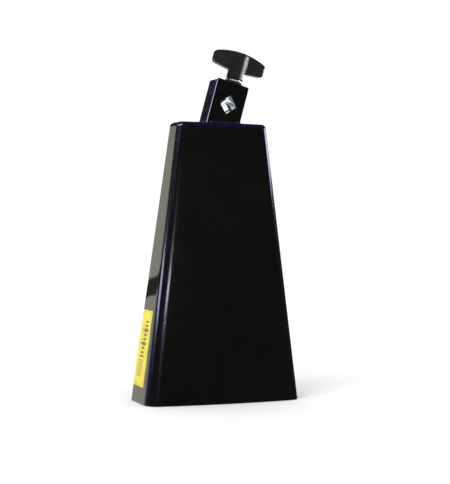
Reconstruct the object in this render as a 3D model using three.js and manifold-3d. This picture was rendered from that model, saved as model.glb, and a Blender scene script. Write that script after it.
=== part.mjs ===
// Mountable steel cowbell, 8 inch class, with a leaning rod clamp on its crown.
// Millimetres, +Z up from the mouth to the crown, the broad front face towards -Y.
// Origin: middle of the mouth, in the plane of its rim.
import * as THREE from 'three';
import { mergeVertices } from 'three/addons/utils/BufferGeometryUtils.js';
import Module from 'manifold-3d';

const wasm = await Module();
wasm.setup();

// ---- driving dimensions -------------------------------------------------------------------
const BELL_LENGTH = 203.2;          // mouth rim to crown
const MOUTH_HALF_WIDTH = 60.2;
const CROWN_HALF_WIDTH = 34.8;
const MOUTH_HALF_DEPTH = 22.7;      // at the corners, before the bow of the broad faces
const CROWN_HALF_DEPTH = 11.5;
const MOUTH_BOW = 2.9;              // how far a broad face bows out at its middle
const CROWN_BOW = 2.5;
const MOUTH_CORNER = 9.6;           // vertical corner radius
const CROWN_CORNER = 5.4;
const CROWN_EDGE = 3.7;             // rolled edge round the crown
const SHEET = 1.6;                  // 16 gauge steel
const SEAM_HALF = 0.9;              // half of the gap between the two pressed halves
const WELD_HALF = 0.85;
const WELD_ROOT = 0.5;              // how far a seam weld stands proud inside
const SEAM_OVER_CROWN = 3.0;        // how far a side seam runs on to the crown past the rolled edge
const SEAM_PARTING = 0.2;           // between the end of a side seam and the crown seam
const CORNER_STEPS = 8;
const FACE_STEPS = 10;
const HEIGHT_STEPS = 10;
const EDGE_STEPS = 6;
const ROUND_STEPS = 28;
const FINE_STEPS = 40;

const LEAN = THREE.MathUtils.degToRad(14.9);   // bracket axis leans towards +X
const BRACKET_X = 0.8;              // where the bracket axis meets the crown
const BOX_WIDTH = 25.8;
const BOX_DEPTH = 16.4;
const BOX_HEIGHT = 30.9;            // along the leaning axis
const BOX_WALL = 2.3;
const BOX_CORNER = 1.2;
const ROD_HOLE_SIDE = 9.8;          // square hole on its point, takes a 3/8 inch rod
const ROD_HOLE_HEIGHT = 14.0;
const BOX_INNER_CORNER = 0.8;
const TOP_PLATE = 3.0;
const PLATE_PLAY = 0.3;             // between the top plate and the box walls, both sides together
const PLATE_CORNER = 0.7;
const STEM_PLAY = 0.35;             // round the stem in the top plate
const WELD_LEG = 1.7;
const WELD_LIFT = 0.06;             // gap under a foot weld
const SIDE_WELD_GAP = 0.15;
const SIDE_WELD_STOP = 1.2;         // a foot weld ends this far short of the box corner
const FACE_WELD_GAP = 0.1;
const FACE_WELD_STOP = 2.2;

const STEM_X = 2.2;                 // clamp axis inside the bracket
const STEM_Y = -2.0;
const STEM_RADIUS = 2.95;           // M6, pitch 1.0
const EYE_HEIGHT = 11.2;
const EYE_OUTER = 7.6;
const EYE_INNER = 5.0;
const EYE_THICK = 7.0;
const EYE_EDGE = 0.7;               // rounding of the eye
const NECK_RADIUS = 3.6;            // where the stem meets the eye
const NECK_LENGTH = 2.0;
const STEM_TOP = 43.5;
const STEM_POINT = 0.6;             // height of the chamfer on the stem's end
const STEM_POINT_INSET = 0.5;

const DARK_WASHER = { low: 31.1, high: 31.95, outer: 6.4, inner: 3.3 };
const BRIGHT_WASHER = { low: 32.1, high: 33.15, outer: 6.7, inner: 3.3 };
const INSERT = { low: 33.3, collar: 33.75, high: 48.0, outer: 4.3, collarOuter: 5.2, bore: 3.2 };
const HUB_RADIUS = 6.45;
const HUB_LOW = 33.85;
const HUB_BORE = 4.4;
const HUB_BORE_TOP = 49.4;
const HUB_CAP_LOW = 1.6;            // the hub's rounded cap, measured down from the top of the wings
const HUB_CAP_HIGH = 0.6;
const HUB_CAP_INSET = 1.2;
const WING_HALF_SPAN = 20.3;
const WING_TIP_LOW = 41.9;
const WING_TIP_HIGH = 50.7;
const WING_ROOT_LOW = 40.0;
const WING_TOP = 54.5;
const WING_HALF_THICK = 4.0;
const WING_EDGE = 1.4;
const WING_ROOT_HALF = 5.0;
const WING_TIP_ROUND = [1.6, 1.8];

const LABEL = { y0: -7.5, y1: 13.8, z0: 12.0, z1: 66.7, gap: 0.08, thick: 0.2 };

// ---- materials ----------------------------------------------------------------------------
const black = new THREE.MeshStandardMaterial({ color: 0x15151a, roughness: 0.22, metalness: 0.1 });
const weldBlack = new THREE.MeshStandardMaterial({ color: 0x17171b, roughness: 0.35, metalness: 0.1 });
const chrome = new THREE.MeshStandardMaterial({ color: 0xd8dce0, roughness: 0.12, metalness: 1.0 });
const zinc = new THREE.MeshStandardMaterial({ color: 0xc8c9c4, roughness: 0.3, metalness: 1.0 });
const nylon = new THREE.MeshStandardMaterial({ color: 0x1a1a1a, roughness: 0.6, metalness: 0.0 });
const plastic = new THREE.MeshStandardMaterial({ color: 0x1c1815, roughness: 0.4, metalness: 0.0 });
const brass = new THREE.MeshStandardMaterial({ color: 0xb9964e, roughness: 0.35, metalness: 1.0 });
const yellow = new THREE.MeshStandardMaterial({ color: 0xf0e664, roughness: 0.4, metalness: 0.0 });

// ---- helpers ------------------------------------------------------------------------------
function part(name, geometry, material) {
  const mesh = new THREE.Mesh(geometry, material);
  mesh.name = name;
  return mesh;
}

// Closed geometry from points and triangles: shared points are welded, collapsed triangles dropped.
function closed(points, triangles) {
  const ids = new Map();
  const unique = [];
  const remap = points.map((p) => {
    const key = p.map((c) => Math.round(c * 1e4)).join(',');
    if (!ids.has(key)) { ids.set(key, unique.length); unique.push(p); }
    return ids.get(key);
  });
  const index = [];
  for (const t of triangles) {
    const [a, b, c] = t.map((i) => remap[i]);
    if (a !== b && b !== c && c !== a) index.push(a, b, c);
  }
  const geometry = new THREE.BufferGeometry();
  geometry.setAttribute('position', new THREE.Float32BufferAttribute(unique.flat(), 3));
  geometry.setIndex(index);
  geometry.computeVertexNormals();
  return geometry;
}

function solidOf(geometry, matrix) {
  let g = geometry.clone();
  if (matrix) g.applyMatrix4(matrix);
  g.deleteAttribute('normal');
  g.deleteAttribute('uv');
  g = mergeVertices(g, 1e-4);
  return new wasm.Manifold(new wasm.Mesh({
    numProp: 3,
    vertProperties: new Float32Array(g.attributes.position.array),
    triVerts: new Uint32Array(g.index.array),
  }));
}

function geometryOf(solid) {
  const mesh = solid.getMesh();
  const geometry = new THREE.BufferGeometry();
  geometry.setAttribute('position', new THREE.BufferAttribute(new Float32Array(mesh.vertProperties), 3));
  geometry.setIndex(new THREE.BufferAttribute(new Uint32Array(mesh.triVerts), 1));
  geometry.computeVertexNormals();
  return geometry;
}

function place(x, y, z, rx = 0, ry = 0, rz = 0) {
  const turn = new THREE.Quaternion().setFromEuler(new THREE.Euler(rx, ry, rz));
  return new THREE.Matrix4().compose(new THREE.Vector3(x, y, z), turn, new THREE.Vector3(1, 1, 1));
}

// Upright cylinder between two heights.
function post(rLow, rHigh, low, high, sides = 32) {
  const g = new THREE.CylinderGeometry(rHigh, rLow, high - low, sides);
  g.rotateX(Math.PI / 2);
  g.translate(0, 0, (low + high) / 2);
  return g;
}

// Polygon with rounded corners: each point is [x, y, radius].
function roundedShape(points, steps = 4) {
  const shape = new THREE.Shape();
  const n = points.length;
  points.forEach(([x, y, r], i) => {
    const prev = new THREE.Vector2(...points[(i + n - 1) % n]);
    const next = new THREE.Vector2(...points[(i + 1) % n]);
    const here = new THREE.Vector2(x, y);
    const into = prev.clone().sub(here).normalize().multiplyScalar(r);
    const out = next.clone().sub(here).normalize().multiplyScalar(r);
    for (let k = 0; k <= steps; k += 1) {
      const t = k / steps;
      const px = x + into.x * (1 - t) ** 2 + out.x * t ** 2;
      const py = y + into.y * (1 - t) ** 2 + out.y * t ** 2;
      if (i === 0 && k === 0) shape.moveTo(px, py);
      else shape.lineTo(px, py);
      if (r === 0) break;
    }
  });
  return shape;
}

// ---- bell body ----------------------------------------------------------------------------
function bellSize(z) {
  const t = z / BELL_LENGTH;
  const mix = THREE.MathUtils.lerp;
  return {
    a: mix(MOUTH_HALF_WIDTH, CROWN_HALF_WIDTH, t),
    b: mix(MOUTH_HALF_DEPTH, CROWN_HALF_DEPTH, t),
    r: mix(MOUTH_CORNER, CROWN_CORNER, t),
    bow: mix(MOUTH_BOW, CROWN_BOW, t),
  };
}

// Half section from the left seam round the broad face to the right seam, facing -Y.
function halfSection(z, inset) {
  const s = bellSize(z);
  const a = s.a - inset;
  const r = s.r - inset;
  const cx = s.a - s.r;
  const cy = s.b - s.r;
  const tilt = 2 * Math.atan(s.bow / cx);
  const face = cx / Math.sin(tilt) + r;
  const quarter = [[a, -SEAM_HALF], [a, -(SEAM_HALF + cy) / 2]];
  for (let k = 0; k <= CORNER_STEPS; k += 1) {
    const angle = Math.PI / 2 + (tilt - Math.PI / 2) * (k / CORNER_STEPS);
    quarter.push([cx + r * Math.sin(angle), -(cy + r * Math.cos(angle))]);
  }
  const middle = cx + r * Math.sin(tilt) - face * Math.sin(tilt);
  const base = -(cy + r * Math.cos(tilt)) + face * Math.cos(tilt);
  for (let k = 1; k <= FACE_STEPS; k += 1) {
    const angle = tilt * (1 - k / FACE_STEPS);
    quarter.push([middle + face * Math.sin(angle), base - face * Math.cos(angle)]);
  }
  const left = quarter.slice(0, -1).map(([x, y]) => [-x, y]);
  return left.concat(quarter.slice().reverse());
}

// Rows of a shell surface from the mouth, over the rolled edge, to the crown seam.
function shellRows(skin) {
  const rows = [];
  const shoulder = BELL_LENGTH - CROWN_EDGE;
  for (let k = 0; k <= HEIGHT_STEPS; k += 1) {
    const z = (shoulder * k) / HEIGHT_STEPS;
    rows.push(halfSection(z, skin).map(([x, y]) => [x, y, z]));
  }
  const edge = CROWN_EDGE - skin;
  for (let k = 1; k <= EDGE_STEPS; k += 1) {
    const angle = (Math.PI / 2) * (k / EDGE_STEPS);
    const z = shoulder + edge * Math.sin(angle);
    rows.push(halfSection(shoulder, skin + edge * (1 - Math.cos(angle))).map(([x, y]) => [x, y, z]));
  }
  const last = rows[rows.length - 1];
  const half = last[last.length - 1][0];
  const n = last.length - 1;
  rows.push(last.map((p, i) => [-half + (2 * half * i) / n, -SEAM_HALF, p[2]]));
  return rows;
}

function pressedHalf(name, facing) {
  const outer = shellRows(0);
  const inner = shellRows(SHEET);
  const nRow = outer.length;
  const nCol = outer[0].length;
  const points = [...outer.flat(), ...inner.flat()];
  const o = (j, i) => j * nCol + i;
  const q = (j, i) => nRow * nCol + j * nCol + i;
  const tris = [];
  const quad = (a, b, c, d) => { tris.push([a, b, c], [a, c, d]); };
  for (let j = 0; j < nRow - 1; j += 1) {
    for (let i = 0; i < nCol - 1; i += 1) {
      quad(o(j, i), o(j, i + 1), o(j + 1, i + 1), o(j + 1, i));
      quad(q(j, i), q(j + 1, i), q(j + 1, i + 1), q(j, i + 1));
    }
  }
  for (let i = 0; i < nCol - 1; i += 1) {
    quad(o(0, i), q(0, i), q(0, i + 1), o(0, i + 1));
    quad(o(nRow - 1, i), o(nRow - 1, i + 1), q(nRow - 1, i + 1), q(nRow - 1, i));
  }
  for (let j = 0; j < nRow - 1; j += 1) {
    quad(o(j, 0), o(j + 1, 0), q(j + 1, 0), q(j, 0));
    quad(o(j, nCol - 1), q(j, nCol - 1), q(j + 1, nCol - 1), o(j + 1, nCol - 1));
  }
  const geometry = closed(points, tris);
  if (facing > 0) geometry.rotateZ(Math.PI);
  return part(name, geometry, black);
}

// Ground seam weld in a narrow side, running over the rolled edge on to the crown.
function sideSeam(name, side) {
  const shoulder = BELL_LENGTH - CROWN_EDGE;
  const outline = (skin) => {
    const line = [[bellSize(0).a - skin, 0], [bellSize(shoulder).a - skin, shoulder]];
    const radius = CROWN_EDGE - Math.min(skin, SHEET);
    const extra = skin - Math.min(skin, SHEET);
    const cx = bellSize(shoulder).a - CROWN_EDGE;
    for (let k = 1; k <= EDGE_STEPS; k += 1) {
      const angle = (Math.PI / 2) * (k / EDGE_STEPS);
      const rr = radius - extra;
      line.push([cx + rr * Math.cos(angle), shoulder + rr * Math.sin(angle)]);
    }
    line.push([cx - SEAM_OVER_CROWN, line[line.length - 1][1]]);
    return line;
  };
  const ring = outline(0).concat(outline(SHEET + WELD_ROOT).reverse());
  const shape = new THREE.Shape(ring.map(([x, z]) => new THREE.Vector2(x * side, z)));
  const g = new THREE.ExtrudeGeometry(shape, { depth: 2 * WELD_HALF, bevelEnabled: false });
  g.rotateX(Math.PI / 2);
  g.translate(0, WELD_HALF, 0);
  return part(name, geometryOf(solidOf(g)), weldBlack);
}

function crownSeam() {
  const reach = bellSize(BELL_LENGTH - CROWN_EDGE).a - CROWN_EDGE - SEAM_OVER_CROWN - SEAM_PARTING;
  const depth = SHEET + WELD_ROOT;
  const g = new THREE.BoxGeometry(2 * reach, 2 * WELD_HALF, depth);
  g.translate(0, 0, BELL_LENGTH - depth / 2);
  return part('seam_weld_crown', g, weldBlack);
}

// Thin label that follows the left narrow side and turns on to its rear corner.
function sideLabel() {
  const rows = [0, 1].map((level) => {
    const off = LABEL.gap + level * LABEL.thick;
    const grid = [];
    for (let j = 0; j <= 4; j += 1) {
      const z = LABEL.z0 + ((LABEL.z1 - LABEL.z0) * j) / 4;
      const s = bellSize(z);
      const flat = s.b - s.r;
      const line = [];
      for (let i = 0; i <= 12; i += 1) {
        const y = LABEL.y0 + ((LABEL.y1 - LABEL.y0) * i) / 12;
        const angle = Math.max(0, y - flat) / s.r;
        const x = s.a - s.r + (s.r + off) * Math.cos(angle);
        line.push([-x, angle > 0 ? flat + (s.r + off) * Math.sin(angle) : y, z]);
      }
      grid.push(line);
    }
    return grid;
  });
  const nRow = 5;
  const nCol = 13;
  const points = rows.flat(2);
  const id = (level, j, i) => (level * nRow + j) * nCol + i;
  const tris = [];
  const quad = (a, b, c, d) => { tris.push([a, b, c], [a, c, d]); };
  for (let j = 0; j < nRow - 1; j += 1) {
    for (let i = 0; i < nCol - 1; i += 1) {
      quad(id(1, j, i), id(1, j + 1, i), id(1, j + 1, i + 1), id(1, j, i + 1));
      quad(id(0, j, i), id(0, j, i + 1), id(0, j + 1, i + 1), id(0, j + 1, i));
    }
  }
  for (let i = 0; i < nCol - 1; i += 1) {
    quad(id(1, 0, i), id(1, 0, i + 1), id(0, 0, i + 1), id(0, 0, i));
    quad(id(1, nRow - 1, i), id(0, nRow - 1, i), id(0, nRow - 1, i + 1), id(1, nRow - 1, i + 1));
  }
  for (let j = 0; j < nRow - 1; j += 1) {
    quad(id(1, j, 0), id(0, j, 0), id(0, j + 1, 0), id(1, j + 1, 0));
    quad(id(1, j, nCol - 1), id(1, j + 1, nCol - 1), id(0, j + 1, nCol - 1), id(0, j, nCol - 1));
  }
  return part('side_label', closed(points, tris), yellow);
}

// ---- rod bracket, in the leaning frame ------------------------------------------------------
function boxOutline(width, depth, r) {
  const [x, y] = [width / 2, depth / 2];
  return roundedShape([[x, -y, r], [x, y, r], [-x, y, r], [-x, -y, r]], 5);
}

// Everything below the crown plane, seen from the leaning frame.
function belowCrown(lift) {
  const g = new THREE.BoxGeometry(120, 120, 60);
  g.translate(0, 0, -30 + lift);
  return solidOf(g, place(0, 0, 0, 0, -LEAN, 0));
}

function bracketBox() {
  const shape = boxOutline(BOX_WIDTH, BOX_DEPTH, BOX_CORNER);
  const inside = boxOutline(BOX_WIDTH - 2 * BOX_WALL, BOX_DEPTH - 2 * BOX_WALL, BOX_INNER_CORNER);
  shape.holes.push(inside);
  const tube = new THREE.ExtrudeGeometry(shape, { depth: BOX_HEIGHT + 12, bevelEnabled: false });
  tube.translate(0, 0, -12);
  const cut = new THREE.BoxGeometry(ROD_HOLE_SIDE, 60, ROD_HOLE_SIDE);
  const hole = solidOf(cut, place(0, 0, ROD_HOLE_HEIGHT, 0, Math.PI / 4, 0));
  const solid = solidOf(tube).subtract(belowCrown(0.1)).subtract(hole);
  return part('bracket_box', geometryOf(solid), black);
}

function topPlate() {
  const width = BOX_WIDTH - 2 * BOX_WALL - PLATE_PLAY;
  const depth = BOX_DEPTH - 2 * BOX_WALL - PLATE_PLAY;
  const shape = boxOutline(width, depth, PLATE_CORNER);
  const hole = new THREE.Path();
  hole.absarc(STEM_X, STEM_Y, STEM_RADIUS + STEM_PLAY, 0, 2 * Math.PI, true);
  shape.holes.push(hole);
  const options = { depth: TOP_PLATE, bevelEnabled: false, curveSegments: ROUND_STEPS };
  const g = new THREE.ExtrudeGeometry(shape, options);
  g.translate(0, 0, BOX_HEIGHT - TOP_PLATE);
  return part('bracket_top_plate', geometryOf(solidOf(g)), black);
}

// Fillet welds on the crown, against the foot of the leaning box. Section drawn in (out, up).
function footWeld(name, side) {
  const slope = Math.tan(LEAN) * side;
  const foot = BOX_WIDTH / 2 / Math.cos(LEAN) + SIDE_WELD_GAP;
  const half = BOX_DEPTH / 2 - SIDE_WELD_STOP;
  const section = [[0, WELD_LIFT], [WELD_LEG, WELD_LIFT], [WELD_LEG * 0.72, WELD_LEG * 0.55]];
  section.push([slope * WELD_LEG * 0.95 + 0.18, WELD_LEG]);
  section.push([slope * WELD_LEG + 0.02, WELD_LEG]);
  const shape = new THREE.Shape(section.map(([o, h]) => new THREE.Vector2(side * (foot + o), h)));
  const g = new THREE.ExtrudeGeometry(shape, { depth: 2 * half, bevelEnabled: false });
  g.rotateX(Math.PI / 2);
  g.translate(BRACKET_X, half, BELL_LENGTH);
  return part(name, geometryOf(solidOf(g)), weldBlack);
}

function faceWeld(name, side) {
  const foot = BOX_DEPTH / 2 + FACE_WELD_GAP;
  const half = BOX_WIDTH / 2 / Math.cos(LEAN) - FACE_WELD_STOP;
  const leg = WELD_LEG * 0.9;
  const section = [[0, WELD_LIFT], [leg, WELD_LIFT], [leg * 0.72, leg * 0.6], [0.15, leg], [0, leg]];
  const shape = new THREE.Shape(section.map(([o, h]) => new THREE.Vector2(side * (foot + o), h)));
  const g = new THREE.ExtrudeGeometry(shape, { depth: 2 * half, bevelEnabled: false });
  g.rotateX(Math.PI / 2);
  g.rotateZ(Math.PI / 2);
  g.translate(BRACKET_X - half, 0, BELL_LENGTH);
  return part(name, geometryOf(solidOf(g)), weldBlack);
}

// ---- clamp: eye-bolt, washers, T-handle -------------------------------------------------------
function eyeBolt() {
  const ring = new THREE.Shape();
  ring.absarc(0, 0, EYE_OUTER - EYE_EDGE, 0, 2 * Math.PI, false);
  const hole = new THREE.Path();
  hole.absarc(0, 0, EYE_INNER + EYE_EDGE, 0, 2 * Math.PI, true);
  ring.holes.push(hole);
  const bevel = { bevelEnabled: true, bevelThickness: EYE_EDGE, bevelSize: EYE_EDGE, bevelSegments: 3 };
  const flat = EYE_THICK - 2 * EYE_EDGE;
  const eye = new THREE.ExtrudeGeometry(ring, { depth: flat, curveSegments: 36, ...bevel });
  eye.translate(0, 0, -flat / 2);
  eye.rotateX(Math.PI / 2);
  const reach = Math.sqrt(((EYE_OUTER + EYE_INNER) / 2) ** 2 - STEM_RADIUS ** 2);
  const neckTop = EYE_OUTER + NECK_LENGTH;
  const end = STEM_TOP - EYE_HEIGHT;
  const neck = post(NECK_RADIUS, STEM_RADIUS, reach, neckTop, ROUND_STEPS);
  const stemLow = neckTop - NECK_LENGTH / 2;
  const stem = post(STEM_RADIUS, STEM_RADIUS, stemLow, end - STEM_POINT, ROUND_STEPS);
  const tip = post(STEM_RADIUS, STEM_RADIUS - STEM_POINT_INSET, end - STEM_POINT, end, ROUND_STEPS);
  const bore = post(EYE_INNER, EYE_INNER, -EYE_THICK, EYE_THICK, 2 * ROUND_STEPS);
  bore.rotateX(Math.PI / 2);
  const whole = solidOf(eye).add(solidOf(neck)).add(solidOf(stem)).add(solidOf(tip));
  const solid = whole.subtract(solidOf(bore));
  const mesh = part('eye_bolt', geometryOf(solid), chrome);
  mesh.position.set(STEM_X, STEM_Y, EYE_HEIGHT);
  return mesh;
}

function ringPart(name, { low, high, outer, inner }, material) {
  const profile = [[inner, low], [outer, low], [outer, high], [inner, high], [inner, low]];
  const g = new THREE.LatheGeometry(profile.map(([r, z]) => new THREE.Vector2(r, z)), FINE_STEPS);
  g.rotateX(Math.PI / 2);
  const mesh = part(name, geometryOf(solidOf(g)), material);
  mesh.position.set(STEM_X, STEM_Y, 0);
  return mesh;
}

function handleInsert() {
  const { low, collar, high, outer, collarOuter, bore } = INSERT;
  const profile = [[bore, low], [collarOuter, low], [collarOuter, collar], [outer, collar],
    [outer, high], [bore, high], [bore, low]];
  const g = new THREE.LatheGeometry(profile.map(([r, z]) => new THREE.Vector2(r, z)), FINE_STEPS);
  g.rotateX(Math.PI / 2);
  const mesh = part('handle_insert', geometryOf(solidOf(g)), brass);
  mesh.position.set(STEM_X, STEM_Y, 0);
  return mesh;
}

function tHandle() {
  const [s, lowTip, highTip] = [WING_HALF_SPAN, WING_TIP_LOW, WING_TIP_HIGH];
  const bevel = WING_EDGE;
  const [lowRound, highRound] = WING_TIP_ROUND;
  const outline = [[0, WING_ROOT_LOW + bevel, 0], [WING_ROOT_HALF, WING_ROOT_LOW + bevel, 0]];
  outline.push([s - bevel, lowTip + bevel, lowRound]);
  outline.push([s - bevel, highTip - bevel, highRound]);
  for (let k = 1; k <= 9; k += 1) {
    const x = (s - bevel) * (1 - k / 5);
    outline.push([x, WING_TOP - bevel - (WING_TOP - highTip) * (x / (s - bevel)) ** 2, 0]);
  }
  outline.push([-(s - bevel), highTip - bevel, highRound]);
  outline.push([-(s - bevel), lowTip + bevel, lowRound]);
  outline.push([-WING_ROOT_HALF, WING_ROOT_LOW + bevel, 0]);
  const flat = 2 * (WING_HALF_THICK - bevel);
  const options = { bevelEnabled: true, bevelThickness: bevel, bevelSize: bevel, bevelSegments: 4 };
  const wings = new THREE.ExtrudeGeometry(roundedShape(outline), { depth: flat, ...options });
  wings.translate(0, 0, -flat / 2);
  wings.rotateX(Math.PI / 2);
  const capLow = WING_TOP - HUB_CAP_LOW;
  const hub = post(HUB_RADIUS, HUB_RADIUS, HUB_LOW, capLow, FINE_STEPS);
  const cap = post(HUB_RADIUS, HUB_RADIUS - HUB_CAP_INSET, capLow, WING_TOP - HUB_CAP_HIGH, FINE_STEPS);
  const bore = post(HUB_BORE, HUB_BORE, HUB_LOW - HUB_RADIUS, HUB_BORE_TOP, FINE_STEPS);
  const solid = solidOf(wings).add(solidOf(hub)).add(solidOf(cap)).subtract(solidOf(bore));
  const mesh = part('t_handle', geometryOf(solid), plastic);
  mesh.position.set(STEM_X, STEM_Y, 0);
  return mesh;
}

// ---- assembly -----------------------------------------------------------------------------
const group = new THREE.Group();
group.add(pressedHalf('bell_front_shell', -1), pressedHalf('bell_rear_shell', 1));
group.add(sideSeam('seam_weld_left', -1), sideSeam('seam_weld_right', 1), crownSeam(), sideLabel());
group.add(footWeld('bracket_weld_left', -1), footWeld('bracket_weld_right', 1));
group.add(faceWeld('bracket_weld_front', -1), faceWeld('bracket_weld_rear', 1));

const head = new THREE.Group();
head.position.set(BRACKET_X, 0, BELL_LENGTH);
head.rotation.y = LEAN;
head.add(bracketBox(), topPlate(), eyeBolt());
head.add(ringPart('friction_washer', DARK_WASHER, nylon), ringPart('flat_washer', BRIGHT_WASHER, zinc));
head.add(handleInsert(), tHandle());
group.add(head);

export default group;
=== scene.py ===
# Black mountable cowbell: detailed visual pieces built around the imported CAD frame.
import bpy
import bmesh
import math
from mathutils import Matrix, Vector

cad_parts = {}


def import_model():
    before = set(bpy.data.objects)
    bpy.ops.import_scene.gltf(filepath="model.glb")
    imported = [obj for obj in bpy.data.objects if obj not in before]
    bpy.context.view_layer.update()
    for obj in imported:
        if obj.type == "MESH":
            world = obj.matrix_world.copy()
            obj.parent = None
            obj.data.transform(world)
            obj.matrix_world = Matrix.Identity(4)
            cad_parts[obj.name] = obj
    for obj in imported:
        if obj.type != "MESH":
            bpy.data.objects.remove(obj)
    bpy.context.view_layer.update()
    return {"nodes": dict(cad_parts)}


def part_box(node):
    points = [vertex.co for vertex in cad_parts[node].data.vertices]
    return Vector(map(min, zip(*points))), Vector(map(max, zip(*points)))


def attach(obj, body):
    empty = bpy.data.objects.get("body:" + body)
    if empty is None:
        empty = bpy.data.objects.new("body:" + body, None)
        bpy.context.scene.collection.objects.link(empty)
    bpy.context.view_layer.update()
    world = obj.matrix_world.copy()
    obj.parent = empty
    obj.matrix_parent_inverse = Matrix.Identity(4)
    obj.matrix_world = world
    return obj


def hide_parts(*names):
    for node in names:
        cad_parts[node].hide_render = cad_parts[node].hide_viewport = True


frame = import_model()
MM = 0.001
PI = math.pi

# ---- sizes, in metres --------------------------------------------------------------------------
front_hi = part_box("bell_front_shell")[1]
LENGTH = front_hi.z
MOUTH_HALF_WIDTH = front_hi.x
CROWN_HALF_WIDTH = 34.8 * MM
MOUTH_HALF_DEPTH = 22.7 * MM
CROWN_HALF_DEPTH = 11.5 * MM
MOUTH_BOW = 2.9 * MM
CROWN_BOW = 2.5 * MM
MOUTH_CORNER = 9.6 * MM
CROWN_CORNER = 5.4 * MM
CROWN_EDGE = 3.7 * MM
SHEET = 1.6 * MM
SEAM = 0.01 * MM

LEAN = math.radians(14.9)
BRACKET_X = 0.8 * MM
BOX_WIDTH = 25.8 * MM
BOX_DEPTH = 16.4 * MM
BOX_HEIGHT = 30.9 * MM
BOX_WALL = 2.3 * MM
BOX_CORNER = 1.2 * MM
ROD_HOLE_SIDE = 9.8 * MM
ROD_HOLE_HEIGHT = 14.0 * MM
BOX_TOP_EASE = 1.3 * MM
FOOT_SINK = 0.4 * MM

STEM_X = 2.2 * MM
STEM_Y = -2.0 * MM
STEM_RADIUS = 2.95 * MM
STEM_TOP = 43.5 * MM
EYE_HEIGHT = 11.2 * MM
EYE_OUTER = 7.6 * MM
EYE_INNER = 5.0 * MM
EYE_THICK = 7.0 * MM
EYE_RIM = 0.6 * MM
NECK_LOW = 6.5 * MM
NECK_RADIUS = 3.2 * MM
THREAD_PITCH = 1.0 * MM
THREAD_DEPTH = 0.32 * MM
# shoulder of the eye-bolt: height above the eye's centre, half width, half depth, corner radius
SHOULDER = ((5.0 * MM, 4.9 * MM, 3.3 * MM, 0.8 * MM), (9.8 * MM, 4.3 * MM, 3.3 * MM, 0.8 * MM),
            (11.6 * MM, 2.9 * MM, 2.9 * MM, 2.8 * MM))
# washers: underside, top, outer radius, bore radius, eased edge
DARK_WASHER = (31.1 * MM, 31.95 * MM, 6.4 * MM, 3.3 * MM, 0.25 * MM)
BRIGHT_WASHER = (32.1 * MM, 33.15 * MM, 6.7 * MM, 3.3 * MM, 0.3 * MM)

HUB_RADIUS = 6.45 * MM
HUB_LOW = 33.85 * MM
HUB_BORE = 4.4 * MM
HUB_BORE_TOP = 49.4 * MM
WING_HALF_SPAN = 20.3 * MM
WING_TIP_LOW = 41.9 * MM
WING_TIP_HIGH = 50.7 * MM
WING_ROOT_LOW = 40.0 * MM
WING_TOP = 54.5 * MM
WING_HALF_THICK = 4.0 * MM
WING_ROOT_HALF = 5.0 * MM
WING_LOW_CORNER = 2.6 * MM
WING_HIGH_CORNER = 1.8 * MM
WING_EASE = 1.5 * MM
WING_MIDDLE = 47 * MM
WING_REACH = 6.6 * MM

LABEL_Y = (-8.1 * MM, 16.4 * MM)
LABEL_Z = (12.0 * MM, 66.7 * MM)
LABEL_WIDE = LABEL_Y[1] - LABEL_Y[0]
LABEL_HIGH = LABEL_Z[1] - LABEL_Z[0]
LABEL_CORNER = 1.3 * MM
LABEL_THICK = 0.10 * MM

# roots of the seam welds and beads at the bracket's foot, with the lengths of their ripples
ROOT_HALF_WIDE = 1.5 * MM
ROOT_WAVES = (1.9 * MM, 7.3 * MM)
BEAD_RADIUS = 1.35 * MM
BEAD_WAVES = (1.5 * MM, 5.1 * MM)

HEAD = Matrix.Translation((BRACKET_X, 0, LENGTH)) @ Matrix.Rotation(LEAN, 4, "Y")
CLAMP = HEAD @ Matrix.Translation((STEM_X, STEM_Y, 0))


# ---- mesh helpers ------------------------------------------------------------------------------
MERGE = 1e-7


def new_object(name, mesh, material, matrix=None, sharp=None):
    obj = bpy.data.objects.new(name, mesh)
    bpy.context.scene.collection.objects.link(obj)
    if matrix is not None:
        obj.matrix_world = matrix
    mesh.materials.clear()
    mesh.materials.append(material)
    for poly in mesh.polygons:
        poly.use_smooth = True
    if sharp is not None:
        mesh.set_sharp_from_angle(angle=math.radians(sharp))
    return obj


def mesh_from(points, faces):
    bm = bmesh.new()
    verts = [bm.verts.new(p) for p in points]
    for face in faces:
        try:
            bm.faces.new([verts[i] for i in face])
        except ValueError:
            pass
    bmesh.ops.remove_doubles(bm, verts=bm.verts, dist=MERGE)
    bmesh.ops.dissolve_degenerate(bm, edges=bm.edges, dist=MERGE)
    bmesh.ops.recalc_face_normals(bm, faces=bm.faces)
    mesh = bpy.data.meshes.new("piece")
    bm.to_mesh(mesh)
    bm.free()
    return mesh


def grid_faces(n_rows, n_cols, close_rows=False, close_cols=False):
    faces = []
    for j in range(n_rows if close_rows else n_rows - 1):
        for i in range(n_cols if close_cols else n_cols - 1):
            a, b = j * n_cols + i, j * n_cols + (i + 1) % n_cols
            c, d = ((j + 1) % n_rows) * n_cols + (i + 1) % n_cols, ((j + 1) % n_rows) * n_cols + i
            faces.append((a, b, c, d))
    return faces


def loft(rows, **closed):
    """Skin over rows of as many points each; closed says which ways of the grid run round."""
    return mesh_from([p for row in rows for p in row], grid_faces(len(rows), len(rows[0]), **closed))


def capped_loft(rows):
    """Closed solid through rings of as many points each, the first and last filled in."""
    n = len(rows[0])
    last = (len(rows) - 1) * n
    faces = grid_faces(len(rows), n, close_cols=True)
    faces += [list(range(n)), [last + i for i in range(n)][::-1]]
    return mesh_from([p for row in rows for p in row], faces)


def lathe(profile, segments):
    """Closed ring or solid from a profile of (radius, height), about local Z."""
    turns = [2 * PI * k / segments for k in range(segments)]
    rows = [[(r * math.cos(a), r * math.sin(a), z) for a in turns] for r, z in profile]
    return loft(rows, close_rows=True, close_cols=True)


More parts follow.
